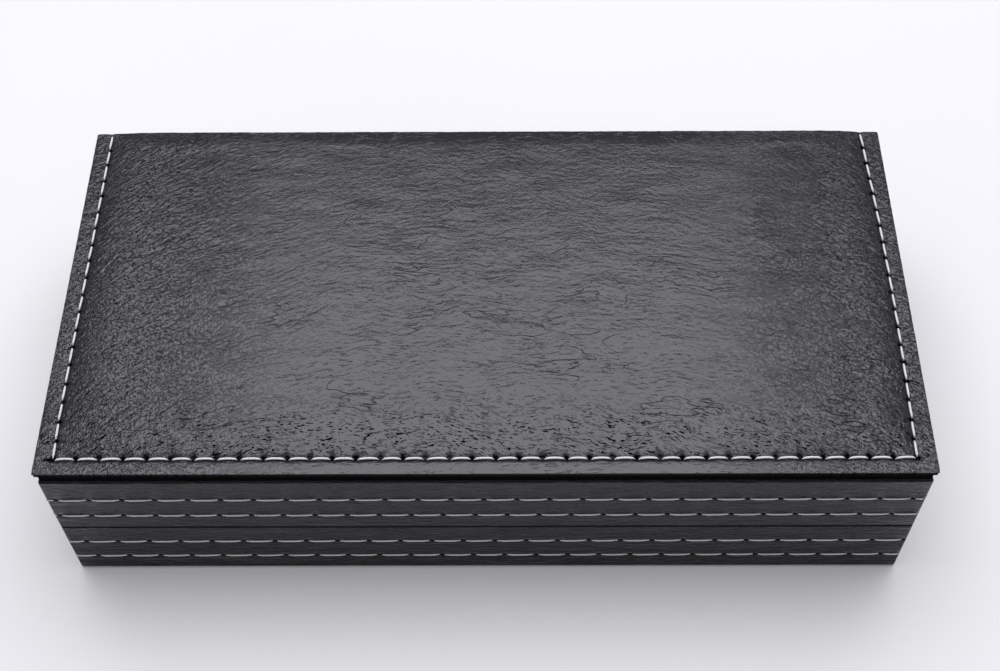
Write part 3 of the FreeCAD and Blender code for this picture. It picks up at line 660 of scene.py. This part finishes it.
def round_the_walls(run):
    """Points and outward directions at distances along the walls, from the front left corner."""
    run = np.mod(run, ROUND)
    sides = np.cumsum([2 * WALL_X, 2 * WALL_Y, 2 * WALL_X, 2 * WALL_Y])
    x = np.interp(run, [0, sides[0], sides[1], sides[2], sides[3]],
                  [-WALL_X, WALL_X, WALL_X, -WALL_X, -WALL_X])
    y = np.interp(run, [0, sides[0], sides[1], sides[2], sides[3]],
                  [-WALL_Y, -WALL_Y, WALL_Y, WALL_Y, -WALL_Y])
    bent_x, bent_y = round_corners(x, y, WALL_X, WALL_Y, WALL_CORNER)
    core = np.stack([np.clip(x, WALL_CORNER - WALL_X, WALL_X - WALL_CORNER),
                     np.clip(y, WALL_CORNER - WALL_Y, WALL_Y - WALL_CORNER)], -1)
    place = np.stack([bent_x, bent_y], -1)
    out = place - core
    out /= np.linalg.norm(out, axis=-1, keepdims=True)
    return place, out


def wall_stitches(level, count, phase, points=7):
    """Long flat stitches round all four walls, each a little higher at its far end."""
    pitch = ROUND / count
    start = phase + pitch * np.arange(count)
    clear, share = 0.30, (1 - np.cos(np.linspace(0, math.pi, points))) / 2
    run = start[:, None] + clear + (pitch - 2 * clear) * share
    place, out = round_the_walls(run)
    lift = -0.22 + 0.33 * np.clip(np.sin(math.pi * share) * 1.6, 0, 1) ** 0.5
    tilt = row_dice.normal(0.16, 0.04, (count, 1))
    paths = np.concatenate([place + out * lift[:, None], (level + tilt * (share - 0.5))[..., None]], -1)
    return paths, np.concatenate([out, np.zeros((*out.shape[:2], 1))], -1)


wall_thread = thread_finish("wall_thread", grey(0.88, 0.0), grey(0.62, 0.01))
for shell in ("lid", "base"):
    rows = [wall_stitches(*row[1:]) for row in WALL_ROWS if row[0] == shell]
    paths, outs = (np.concatenate(parts) for parts in zip(*rows))
    stitches(f"{shell}_wall_stitches", paths, outs, 0.19, 6, wall_thread, shell)

# %% Leatherette of the walls
wall_leatherette = Finish("wall_leatherette", Roughness=0.15, Specular_IOR_Level=0.225)
x, y, z = wall_leatherette.place()
in_front, at_back, at_right = y < 0.3 - WALL_Y, y > WALL_Y - 0.3, x > 0
on_end = 1 - in_front - at_back
run = (in_front * (x + WALL_X) + at_back * (4 * WALL_X / 2 + 2 * WALL_Y + WALL_X - x)
       + on_end * (at_right * (2 * WALL_X + WALL_Y + y) + (1 - at_right) * (ROUND - WALL_Y - y)))
holes_and_painted_shade, pulled = 0.0, 0.0
for _, level, count, phase in WALL_ROWS:
    pitch = ROUND / count
    beat = (run - phase + pitch / 2) / pitch
    from_hole = (beat.maths("FRACT", beat) - 0.5) * pitch
    from_row = z - level
    slant = from_row + from_hole * 0.35 - 0.1
    away = from_hole * from_hole + slant * slant * 2.2
    holes_and_painted_shade = holes_and_painted_shade + away.ramp(0.10, 0.34, 1, 0)
    pulled = pulled + (from_row * from_row).ramp(0.0, 1.1, 1, 0)
outside = (abs(x) - (WALL_X - 0.2)).maths("MAXIMUM", abs(x) - (WALL_X - 0.2), abs(y) - (WALL_Y - 0.2)) > 0
holes_and_painted_shade, pulled = holes_and_painted_shade * outside, pulled * outside
seam = abs(x - STRIP_SEAM).ramp(0.05, 0.16, 1, 0) * at_back
streak = wall_leatherette.noise(x / 5, y / 5, z / 0.8, detail=2.0, rough=0.5, twist=0.6)
pebble = wall_leatherette.noise(x / 0.8, y / 0.8, z / 0.5, detail=2.0, rough=0.6, twist=0.4)
sag = wall_leatherette.noise(x / 14, y / 14, z / 5, detail=1.0)
bulge = (z - BULGE_MIDDLE) * (z - BULGE_MIDDLE) * (-BULGE / BULGE_MIDDLE ** 2)
height = ((streak - 0.5) * 0.26 + (pebble - 0.5) * 0.18 + (sag - 0.5) * 0.6 + bulge
          - pulled * 0.09 - holes_and_painted_shade * 0.35 - seam * 0.3)
gloss = 0.14 + (pebble - 0.5) * 0.1
wall_leatherette.set(Base_Color=(0.006, 0.006, 0.008, 1), Roughness=gloss, Normal=wall_leatherette.bump(height))
# Painted shade: matt black in the needle holes; at the seam it is a dark joint.
wall_leatherette.paint_shade((holes_and_painted_shade + seam).ramp(0, 1))


def dress(finish, *names):
    """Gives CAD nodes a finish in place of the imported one."""
    for name in names:
        for holder in nodes[name].material_slots:
            holder.material = finish.material
        print("dressed", name)


dress(wall_leatherette, "base_wrap", "lid_wrap")

# %% Black edge of the spacer board, partly painted shade of the gap
# Near black with almost no gloss: the edge's own black, darkened further as painted shade in the gap under the cover.
black_paper_and_gap_shade = Finish("black_paper_and_gap_shade", Roughness=0.9, Specular_IOR_Level=0.02)
x, y, z = black_paper_and_gap_shade.place()
fibre = black_paper_and_gap_shade.noise(x / 1.5, y / 1.5, z / 0.3, detail=2.0)
black_paper_and_gap_shade.set(Base_Color=black_paper_and_gap_shade.mix(fibre.ramp(0.3, 0.7), grey(0.0015), grey(0.004)),
                Normal=black_paper_and_gap_shade.bump(fibre * 0.05))
dress(black_paper_and_gap_shade, "cover_spacer_board")

# %% [markdown]
# ## Inside the box
#
# When the lid opens, the camera sees cloth and card. Velvet paper is short black fibre on card: its
# nap leans this way and that, so it shows soft lighter and darker patches and a bright edge where it
# turns away, which is what a shader calls sheen. Flock on the moulded tray is the same fibre, blown on
# upright, so it is finer and more even. Both are textures on shapes that are already right.

# %% Velvet and flock
velvet = Finish("black_velvet", Roughness=0.95, Specular_IOR_Level=0.15, Sheen_Weight=0.45, Sheen_Roughness=0.45)
x, y, z = velvet.place()
nap = velvet.noise(x / 9, y / 9, z / 6, detail=2.0, twist=0.6)
tuft = velvet.noise(x / 0.35, y / 0.35, z / 0.35, detail=1.0)
velvet.set(Base_Color=velvet.mix(nap.ramp(0.25, 0.75) * 0.5 + tuft * 0.5, grey(0.009), grey(0.030, -0.05)),
           Normal=velvet.bump(tuft * 0.16 + nap * 0.10))
flock = Finish("black_flock", Roughness=0.92, Specular_IOR_Level=0.2, Sheen_Weight=0.30, Sheen_Roughness=0.35)
x, y, z = flock.place()
fibre = flock.noise(x / 0.22, y / 0.22, z / 0.22, detail=1.0)
drift = flock.noise(x / 16, y / 16, z / 8, detail=2.0)
speck = flock.noise(x / 0.5, y / 0.5, z / 0.5 + 7.0, detail=1.0).ramp(0.66, 0.74)
flock.set(Base_Color=flock.mix(drift.ramp(0.2, 0.8) * 0.25 + speck * 0.75, grey(0.012), grey(0.042, -0.04)),
          Normal=flock.bump(fibre * 0.14))


dress(velvet, "base_lining", "lid_lining")
dress(flock, "pen_tray")

# %% [markdown]
# Elastic is a woven band: rubber cords run along it, a few to the centimetre, and the weft crosses
# them in fine picks. Here the cords are real ribs in the band's outline, and the picks are a pattern
# along its length, so the band has its own map: how far along it, and how far round it.

# %% Woven elastic loops
tray_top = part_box("pen_tray")[1][2] / MM
LOOP_SPAN, LOOP_RISE, LOOP_THICK, LOOP_TAIL = 22.0, 5.2, 0.8, 4.0
LOOP_WIDTH, RIBS, RIB_HEIGHT = 8.0, 9, 0.10
loop_radius = (LOOP_SPAN ** 2 / 4 + LOOP_RISE ** 2) / (2 * LOOP_RISE) + LOOP_THICK / 2
loop_middle = tray_top + LOOP_RISE + LOOP_THICK / 2 - loop_radius


def loop_line(points=90):
    """The middle line: up out of one slot, over an arc of a circle, and down into the other."""
    foot = LOOP_SPAN / 2 + LOOP_THICK / 2
    reach = math.asin(foot / loop_radius)
    turn = np.linspace(-reach, reach, points)
    arc_y, arc_z = loop_radius * np.sin(turn), loop_middle + loop_radius * np.cos(turn)
    tail = np.linspace(tray_top - LOOP_TAIL + 0.05, arc_z[0], 12)[:-1]
    y = np.concatenate([np.full(11, -foot), arc_y, np.full(11, foot)])
    z = np.concatenate([tail, arc_z, tail[::-1]])
    soft = np.ones(5) / 5
    smooth_y, smooth_z = (np.convolve(np.pad(v, 2, mode="edge"), soft, "valid") for v in (y, z))
    return np.stack([smooth_y, smooth_z], axis=-1)


def band_outline(across=72):
    """Half width and half thickness round the band's section, ribbed on both faces."""
    side = np.linspace(-1, 1, across)
    rib = 0.5 + 0.5 * np.cos(side * math.pi * RIBS)
    thick = (LOOP_THICK / 2 - RIB_HEIGHT * (1 - rib)) * (1 - np.abs(side) ** 24 * 0.75)
    width = side * (LOOP_WIDTH / 2 - 0.02)
    return np.concatenate([width, width[::-1]]), np.concatenate([thick, -thick[::-1]])


def elastic_loop(name, place_x, replaced):
    line = loop_line()
    ahead = np.gradient(line, axis=0)
    ahead /= np.linalg.norm(ahead, axis=1, keepdims=True)
    out = np.stack([-ahead[:, 1], ahead[:, 0]], axis=1)
    width, thick = band_outline()
    pinch = 1 - 0.05 * np.exp(-(np.abs(line[:, 0]) - LOOP_SPAN / 2) ** 2 / 3)
    points = np.zeros((len(line), len(width), 3))
    points[..., 0] = place_x + width * pinch[:, None]
    points[..., 1:] = line[:, None] + out[:, None] * thick[None, :, None]
    faces = sheet_faces(len(line), len(width), close_columns=True)
    caps = np.array([np.arange(len(width)), (len(line) - 1) * len(width) + np.arange(len(width))[::-1]])
    run = np.concatenate([[0], np.cumsum(np.linalg.norm(np.diff(line, axis=0), axis=1))])
    place = np.stack([np.repeat(run, len(width)), np.tile(width, len(line))], axis=-1)
    uv = np.concatenate([place[faces].reshape(-1, 2), place[caps].reshape(-1, 2)])
    piece = new_piece(name, points, [faces, caps], elastic, "base", uv=uv)
    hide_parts(replaced)
    return piece


elastic = Finish("woven_elastic", Roughness=0.6, Specular_IOR_Level=0.35, Sheen_Weight=0.2)
uv = elastic.node("UVMap", {"uv_map": "along"})
split = elastic.node("SeparateXYZ", inputs={0: uv}).socket.node
run, side = Wire(elastic, split.outputs[0]), Wire(elastic, split.outputs[1])
pick = (run / 0.42 + side * (RIBS / LOOP_WIDTH / 2)) * (2 * math.pi)
weft = pick.maths("SINE", pick) * 0.5 + 0.5
cord = side * (2 * math.pi * RIBS / LOOP_WIDTH)
rib = cord.maths("COSINE", cord) * 0.5 + 0.5
lint = elastic.noise(run / 0.8, side / 0.8, detail=2.0)
elastic.set(Base_Color=elastic.mix(weft * 0.5 + rib * 0.3 + lint * 0.4, grey(0.006), grey(0.040)),
            Normal=elastic.bump(weft * 0.05 + lint * 0.02))
loop_x = [(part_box(node)[0][0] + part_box(node)[1][0]) / 2 / MM for node in ("left_pen_loop", "right_pen_loop")]
elastic_loop("left_elastic_loop", loop_x[0], "left_pen_loop")
elastic_loop("right_elastic_loop", loop_x[1], "right_pen_loop")

# %% [markdown]
# The pad in the lid is foam under ivory satin, drawn over the edges of its own card and glued behind.
# The cloth is cut a little large, so it gathers in soft folds along the card's edge. Folds like these
# are hard to draw and easy to let happen: a cloth simulation blows a slightly large sheet against its
# pinned border. It runs twenty times larger than life, where the solver is at ease, and the foam
# under it is a cap: however far the cloth is blown, its depth levels out towards the foam's.

# %% Satin pad: the cloth simulation
card_low, card_high = (np.array(corner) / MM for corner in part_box("lid_pad_card"))
pad_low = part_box("lid_pad_cushion")[0][2] / MM
CARD_FACE, CARD_BACK = card_low[2], card_high[2]
PAD_DEPTH = CARD_FACE - pad_low - 0.25
PAD_X, PAD_Y, PAD_CORNER = card_high[0] + 0.08, card_high[1] + 0.08, 3.0
PAD_STEP, LARGER, SPARE_CLOTH, SIM_FRAMES = 1.15, 20.0, 0.045, 20
pad_columns, pad_rows = int(2 * PAD_X / PAD_STEP), int(2 * PAD_Y / PAD_STEP)
pad_x, pad_y = np.meshgrid(np.linspace(-PAD_X, PAD_X, pad_columns), np.linspace(-PAD_Y, PAD_Y, pad_rows),
                           indexing="ij")
pad_x, pad_y = round_corners(pad_x, pad_y, PAD_X, PAD_Y, PAD_CORNER)


def foam_depth(x, y, run=17.0):
    """How deep the foam stands under the card: nought at its edge, level in the middle."""
    def one_way(reach, place):
        share = np.clip((reach - np.abs(place)) / run, 0, 1)
        return 1 - (1 - share) ** 2.4
    return PAD_DEPTH * one_way(PAD_X, x) * one_way(PAD_Y, y)


def blown_cloth():
    """Depth of a slightly large sheet, pinned along its border and blown out, as simulated."""
    share = foam_depth(pad_x, pad_y) / PAD_DEPTH
    start = np.stack([pad_x, pad_y, -share * 2.5 - 0.10 * rolling(pad_x, pad_y, 6, 6, 31) * (share > 0)], axis=-1)
    mesh = bpy.data.meshes.new("cloth_on_trial")
    mesh.from_pydata((start.reshape(-1, 3) * MM * LARGER).tolist(), [], sheet_faces(*pad_x.shape).tolist())
    trial = bpy.data.objects.new("cloth_on_trial", mesh)
    bpy.context.scene.collection.objects.link(trial)
    index = np.arange(pad_x.size).reshape(pad_x.shape)
    pinned = trial.vertex_groups.new(name="pinned")
    pinned.add(np.unique(np.concatenate([index[0], index[-1], index[:, 0], index[:, -1]])).tolist(), 1.0, "REPLACE")
    cloth = trial.modifiers.new("cloth", "CLOTH")
    settings = cloth.settings
    settings.vertex_group_mass = "pinned"
    settings.quality = 6
    settings.mass = 0.15
    settings.tension_stiffness = settings.compression_stiffness = 25
    settings.shear_stiffness = 6
    settings.bending_stiffness = 0.12
    settings.tension_damping = settings.compression_damping = settings.bending_damping = 3
    settings.air_damping = 4
    settings.shrink_min = -SPARE_CLOTH
    settings.effector_weights.gravity = 0
    settings.use_pressure = True
    settings.uniform_pressure_force = 3.0
    cloth.collision_settings.use_collision = False
    cloth.point_cache.frame_start, cloth.point_cache.frame_end = 1, SIM_FRAMES
    for step in range(1, SIM_FRAMES + 1):
        bpy.context.scene.frame_set(step)
    done = trial.evaluated_get(bpy.context.evaluated_depsgraph_get())
    found = np.zeros(pad_x.size * 3)
    done.data.vertices.foreach_get("co", found)
    bpy.data.objects.remove(trial)
    bpy.data.meshes.remove(mesh)
    bpy.context.scene.frame_set(1)
    return found.reshape(*pad_x.shape, 3) / MM / LARGER


cloth_points = blown_cloth()
print("satin: blown", round(float(-cloth_points[..., 2].min()), 2), "mm deep, over foam", round(PAD_DEPTH, 2))

# %% Satin pad: the piece
def pad_shape():
    """Folds from the cloth over the depth of the foam, then round the card's edge to its back."""
    depth = -cloth_points[..., 2]
    foam = foam_depth(pad_x, pad_y)
    smooth = depth
    for _ in range(14):
        smooth = (np.roll(smooth, 1, 0) + np.roll(smooth, -1, 0) + np.roll(smooth, 1, 1) + np.roll(smooth, -1, 1)) / 4
    inside = np.minimum(PAD_X - np.abs(pad_x), PAD_Y - np.abs(pad_y))
    folds = (depth - smooth) * np.clip(inside / 2, 0, 1)
    settled = np.clip(foam + FOLD_SHARE * folds * np.exp(-np.clip(inside, 0, None) / 16), 0.02, PAD_DEPTH)
    shift = (cloth_points[..., :2] - np.stack([pad_x, pad_y], -1)) * np.clip(inside / 4, 0, 1)[..., None]
    across = np.stack([pad_x, pad_y], -1) + np.clip(shift, -0.5, 0.5)
    top = np.concatenate([across, (CARD_FACE - settled)[..., None]], axis=-1)
    index = np.arange(pad_x.size).reshape(pad_x.shape)
    rim = np.concatenate([index[:, 0], index[-1, 1:], index[-2::-1, -1], index[0, -2:0:-1]])
    edge = top.reshape(-1, 3)[rim]
    profile = [(0.10, CARD_FACE + 0.10), (0.16, CARD_FACE + 0.30), (0.16, CARD_BACK - 0.25),
               (0.10, CARD_BACK - 0.08), (-0.04, CARD_BACK - 0.03)]
    rings = []
    for step, level in profile:
        ring = edge * [(PAD_X + step) / PAD_X, (PAD_Y + step) / PAD_Y, 1]
        ring[:, 2] = level
        rings.append(ring)
    glued = np.stack([pad_x * (1 - 0.05 / PAD_X), pad_y * (1 - 0.05 / PAD_Y),
                      np.full(pad_x.shape, CARD_FACE - 0.02)], axis=-1).reshape(-1, 3)
    points = np.concatenate([top.reshape(-1, 3), *rings, glued])
    upper = pad_x.size + len(rings) * len(rim)
    loops = np.concatenate([rim[None], np.arange(pad_x.size, upper).reshape(-1, len(rim)), upper + rim[None]])
    following = np.roll(loops, -1, axis=1)
    skirt = np.stack([loops[:-1], following[:-1], following[1:], loops[1:]], axis=-1).reshape(-1, 4)
    return points, [sheet_faces(*pad_x.shape), skirt, upper + sheet_faces(*pad_x.shape)[:, ::-1]]


FOLD_SHARE = 2.0
satin = Finish("ivory_satin", Roughness=0.38, Specular_IOR_Level=0.45, Sheen_Weight=0.15)
x, y, z = satin.place()
float_x = satin.noise(x / 2.6, y / 0.16, z / 0.16, detail=2.0)
float_y = satin.noise(x / 0.13, y / 0.9, z / 0.5, detail=1.0)
tone = satin.noise(x / 22, y / 22, z / 9, detail=2.0)
satin.set(Base_Color=satin.mix(tone.ramp(0.2, 0.8) * 0.35 + float_x * 0.5, (0.76, 0.71, 0.60, 1), (0.86, 0.82, 0.73, 1)),
          Roughness=float_x * 0.20 + 0.26,
          Normal=satin.bump(float_x * 0.030 + float_y * 0.012 + tone * 0.25))
pad_points, pad_faces = pad_shape()
pad = new_piece("satin_pad", pad_points, pad_faces, satin, "lid")
pad_smooth = pad.modifiers.new("smooth", "SUBSURF")
pad_smooth.levels = pad_smooth.render_levels = 1
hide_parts("lid_pad_cushion")
print("satin pad: lowest", round(float(pad_points[:, 2].min()), 2), "mm, opening under it", round(pad_low, 2))

# %% [markdown]
# ## Underneath, and the fittings
#
# The box stands on a sheet of black felt. It is half a millimetre of matted wool: flat where it
# lies, with an edge that is cut by a die and has softened. The hinges are polished brass, with fine
# scratches from use. The magnets, boards and card are hidden in the walls, but each gets its own
# finish too, so that a section or an exploded view shows them as they are.

# %% Underside felt
felt_low, felt_high = (np.array(corner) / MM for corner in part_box("base_underside_felt"))


def felt_sheet(columns=120, rows=56):
    """A slab with a rounded edge: the grid of its lower face, a rim, and the grid of its upper face."""
    share_x, share_y = np.linspace(-1, 1, columns), np.linspace(-1, 1, rows)
    half_x, half_y = felt_high[0], felt_high[1]
    x, y = np.meshgrid(share_x * half_x, share_y * half_y, indexing="ij")
    inset = np.minimum(half_x - np.abs(x), half_y - np.abs(y))
    soft = 0.14 * (1 - np.clip(inset / 0.9, 0, 1)) ** 2
    lumps = 0.03 * (0.5 + 0.5 * np.clip(rolling(x, y, 5, 5, 41), -1, 1)) * np.clip(inset, 0, 1)
    lower = np.stack([x, y, soft + lumps], -1).reshape(-1, 3)
    upper = np.stack([x, y, felt_high[2] - 0.01 - soft * 0.2], -1).reshape(-1, 3)
    index = np.arange(x.size).reshape(x.shape)
    rim = np.concatenate([index[:, 0], index[-1, 1:], index[-2::-1, -1], index[0, -2:0:-1]])
    following = np.roll(rim, -1)
    skirt = np.stack([rim, following, following + x.size, rim + x.size], axis=-1)
    faces = sheet_faces(columns, rows)
    return np.concatenate([lower, upper]), [faces, faces[:, ::-1] + x.size, skirt]


felt_finish = Finish("black_felt", Roughness=1.0, Specular_IOR_Level=0.1, Sheen_Weight=0.3, Sheen_Roughness=0.5)
x, y, z = felt_finish.place()
wool = felt_finish.noise(x / 0.6, y / 0.6, z / 0.6, detail=3.0, rough=0.65, twist=0.8)
felt_finish.set(Base_Color=felt_finish.mix(wool.ramp(0.3, 0.7), grey(0.010), grey(0.045)),
                Normal=felt_finish.bump(wool * 0.35))
felt_points, felt_faces = felt_sheet()
felt = new_piece("underside_felt_sheet", felt_points, felt_faces, felt_finish, "base")
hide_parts("base_underside_felt")

# %% Brass of the hinges
brass = Finish("polished_brass", Metallic=1.0, Roughness=0.24)
x, y, z = brass.place()
rub = brass.noise(x / 4.0, y / 0.09, z / 0.09, detail=2.0)
cloud = brass.noise(x / 5, y / 3, z / 3, detail=2.0)
brass.set(Base_Color=brass.mix(cloud.ramp(0.35, 0.7), (0.80, 0.60, 0.28, 1), (0.66, 0.46, 0.19, 1)),
          Roughness=rub * 0.14 + cloud * 0.16 + 0.12, Normal=brass.bump(rub * 0.012))
leaves = [f"{side}_hinge_{part}" for side in ("left", "right") for part in ("base_leaf", "lid_leaf", "pin")]
dress(brass, *leaves)

# %% Screws with a slot whose shade is painted
SCREW_X, SLOT_WIDTH = (-63.5, -46.5, 46.5, 63.5), 0.22
screw_low, screw_high = (np.array(corner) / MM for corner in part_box("base_hinge_screws"))
SCREW_Y = (screw_low[1] + screw_high[1]) / 2
screw_brass = Finish("slotted_brass", Metallic=1.0, Roughness=0.28)
x, y, z = screw_brass.place()
slot_line = 0.0
for centre, turned in zip(SCREW_X, (0.4, 1.9, 2.7, 1.1)):
    near = abs(x - centre) < 2
    along = (x - centre) * math.cos(turned) + (y - SCREW_Y) * math.sin(turned)
    slot_line = slot_line + abs(along).ramp(SLOT_WIDTH - 0.05, SLOT_WIDTH, 1, 0) * near
tarnish = screw_brass.noise(x / 1.5, y / 1.5, z / 1.5, detail=2.0)
screw_brass.set(Base_Color=screw_brass.mix(tarnish.ramp(0.3, 0.7), (0.74, 0.55, 0.25, 1), (0.62, 0.43, 0.18, 1)),
                Roughness=tarnish * 0.2 + 0.18, Normal=screw_brass.bump(slot_line * -0.3))
# Painted shade: the slot, only a bump, is mixed to matt black.
screw_brass.paint_shade(slot_line * 0.92)
dress(screw_brass, "base_hinge_screws", "lid_hinge_screws")

# %% Magnets, boards and card
nickel = Finish("nickel_plating", Metallic=1.0, Roughness=0.2)
x, y, z = nickel.place()
haze = nickel.noise(x / 1.2, y / 1.2, z / 1.2, detail=2.0)
nickel.set(Base_Color=nickel.mix(haze, grey(0.70, 0.01), grey(0.80, 0.01)), Roughness=haze * 0.2 + 0.1)
dress(nickel, "base_magnets", "lid_magnets")


def board_finish(name, light, dark, long, short):
    """Pressed fibre: short pale and dark flecks and a fine rough face."""
    board = Finish(name, Roughness=0.85, Specular_IOR_Level=0.2)
    x, y, z = board.place()
    fleck = board.noise(x / long, y / long, z / short, detail=3.0, rough=0.6, twist=0.5)
    dust = board.noise(x / 0.25, y / 0.25, z / 0.25, detail=1.0)
    board.set(Base_Color=board.mix(fleck.ramp(0.3, 0.7) * 0.8 + dust * 0.2, dark, light),
              Normal=board.bump(dust * 0.06 + fleck * 0.05))
    return board


fibreboard = board_finish("fibreboard", (0.58, 0.45, 0.31, 1), (0.42, 0.31, 0.20, 1), 1.6, 0.5)
greyboard = board_finish("greyboard", (0.52, 0.51, 0.49, 1), (0.38, 0.37, 0.35, 1), 1.1, 0.3)
sides = ("front", "back", "left", "right")
dress(fibreboard, *[f"{shell}_{side}_wall" for shell in ("base", "lid") for side in sides],
      "base_floor_board", "lid_deck_board")
dress(greyboard, "cover_board", "lid_pad_card")
